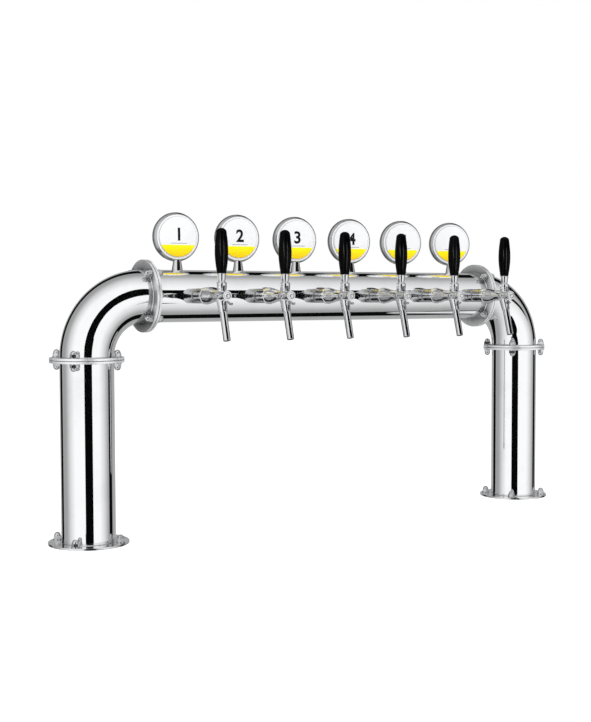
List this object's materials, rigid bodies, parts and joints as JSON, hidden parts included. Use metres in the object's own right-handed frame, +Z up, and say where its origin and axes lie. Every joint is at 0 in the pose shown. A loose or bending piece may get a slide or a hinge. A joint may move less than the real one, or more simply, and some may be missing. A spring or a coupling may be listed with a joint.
{
  "type": "draft drink tower",
  "caption": "Bridge-shaped polished steel draft drink tower: flanged pipe legs, elbows and crossbar carrying a row of taps with handles, flow levers and round lit signs.",
  "frame": {"origin": "on the counter plane, midway between the two leg axes, at the centre of the outer base bolts", "axes": "+X along the crossbar towards the right leg as seen from the tap side, -Y out of the taps towards the server, +Z up"},
  "size_m": [1.212, 0.2826, 0.628],
  "materials": {
    "pipework": "mirror polished, with satin flange faces",
    "tap_chrome": "bright chrome plate",
    "sign_chrome": "bright chrome plate",
    "fasteners": "polished stainless steel",
    "grip": "glossy black moulding",
    "sign_face": "opal lens with a printed yellow band and a tap number",
    "gasket": "black fibre-reinforced rubber",
    "seal": "white fluoropolymer",
    "hose": "milky polyethylene tube",
    "coupler": "dark grey push-fit coupler",
    "cable": "black cable sheath",
    "board": "green lacquered circuit board"
  },
  "bodies": {
    "tower": {"left_leg": "pipework", "right_leg": "pipework", "left_elbow": "pipework", "right_elbow": "pipework", "crossbar": "pipework", "flange_gaskets": "gasket", "flange_studs": "fasteners", "washers": "fasteners", "cap_nuts": "fasteners", "left_product_lines": "hose", "right_product_lines": "hose", "line_couplers": "coupler", "light_cable": "cable", "shanks": "tap_chrome", "shank_collars": "tap_chrome", "shank_locknuts": "fasteners", "coupling_nuts": "tap_chrome", "front_caps": "tap_chrome", "tap_seals": "seal", "trunnion_screws": "tap_chrome", "sign_stems": "sign_chrome", "sign_nuts": "fasteners", "sign_lenses": "sign_face", "light_boards": "board", "tap_body_1": "tap_chrome", "tap_body_2": "tap_chrome", "tap_body_3": "tap_chrome", "tap_body_4": "tap_chrome", "tap_body_5": "tap_chrome", "tap_body_6": "tap_chrome", "spout_1": "tap_chrome", "spout_2": "tap_chrome", "spout_3": "tap_chrome", "spout_4": "tap_chrome", "spout_5": "tap_chrome", "spout_6": "tap_chrome", "sign_housing_1": "sign_chrome", "sign_housing_2": "sign_chrome", "sign_housing_3": "sign_chrome", "sign_housing_4": "sign_chrome", "sign_housing_5": "sign_chrome", "sign_housing_6": "sign_chrome"},
    "handle_1": {"lever_1": "tap_chrome", "grip_1": "grip"},
    "flow_1": {"flow_lever_1": "tap_chrome"},
    "handle_2": {"lever_2": "tap_chrome", "grip_2": "grip"},
    "flow_2": {"flow_lever_2": "tap_chrome"},
    "handle_3": {"lever_3": "tap_chrome", "grip_3": "grip"},
    "flow_3": {"flow_lever_3": "tap_chrome"},
    "handle_4": {"lever_4": "tap_chrome", "grip_4": "grip"},
    "flow_4": {"flow_lever_4": "tap_chrome"},
    "handle_5": {"lever_5": "tap_chrome", "grip_5": "grip"},
    "flow_5": {"flow_lever_5": "tap_chrome"},
    "handle_6": {"lever_6": "tap_chrome", "grip_6": "grip"},
    "flow_6": {"flow_lever_6": "tap_chrome"}
  },
  "joints": [
    {"name": "handle_1_tilt", "type": "hinge", "parent": "tower", "child": "handle_1", "pos_m": [-0.34, -0.18, 0.465], "axis": [1, 0, 0], "range_deg": [0, 32]},
    {"name": "flow_1_turn", "type": "hinge", "parent": "tower", "child": "flow_1", "pos_m": [-0.34, -0.15, 0.465], "axis": [1, 0, 0], "range_deg": [-60, 30]},
    {"name": "handle_2_tilt", "type": "hinge", "parent": "tower", "child": "handle_2", "pos_m": [-0.204, -0.18, 0.465], "axis": [1, 0, 0], "range_deg": [0, 32]},
    {"name": "flow_2_turn", "type": "hinge", "parent": "tower", "child": "flow_2", "pos_m": [-0.204, -0.15, 0.465], "axis": [1, 0, 0], "range_deg": [-60, 30]},
    {"name": "handle_3_tilt", "type": "hinge", "parent": "tower", "child": "handle_3", "pos_m": [-0.068, -0.18, 0.465], "axis": [1, 0, 0], "range_deg": [0, 32]},
    {"name": "flow_3_turn", "type": "hinge", "parent": "tower", "child": "flow_3", "pos_m": [-0.068, -0.15, 0.465], "axis": [1, 0, 0], "range_deg": [-60, 30]},
    {"name": "handle_4_tilt", "type": "hinge", "parent": "tower", "child": "handle_4", "pos_m": [0.068, -0.18, 0.465], "axis": [1, 0, 0], "range_deg": [0, 32]},
    {"name": "flow_4_turn", "type": "hinge", "parent": "tower", "child": "flow_4", "pos_m": [0.068, -0.15, 0.465], "axis": [1, 0, 0], "range_deg": [-60, 30]},
    {"name": "handle_5_tilt", "type": "hinge", "parent": "tower", "child": "handle_5", "pos_m": [0.204, -0.18, 0.465], "axis": [1, 0, 0], "range_deg": [0, 32]},
    {"name": "flow_5_turn", "type": "hinge", "parent": "tower", "child": "flow_5", "pos_m": [0.204, -0.15, 0.465], "axis": [1, 0, 0], "range_deg": [-60, 30]},
    {"name": "handle_6_tilt", "type": "hinge", "parent": "tower", "child": "handle_6", "pos_m": [0.34, -0.18, 0.465], "axis": [1, 0, 0], "range_deg": [0, 32]},
    {"name": "flow_6_turn", "type": "hinge", "parent": "tower", "child": "flow_6", "pos_m": [0.34, -0.15, 0.465], "axis": [1, 0, 0], "range_deg": [-60, 30]}
  ]
}
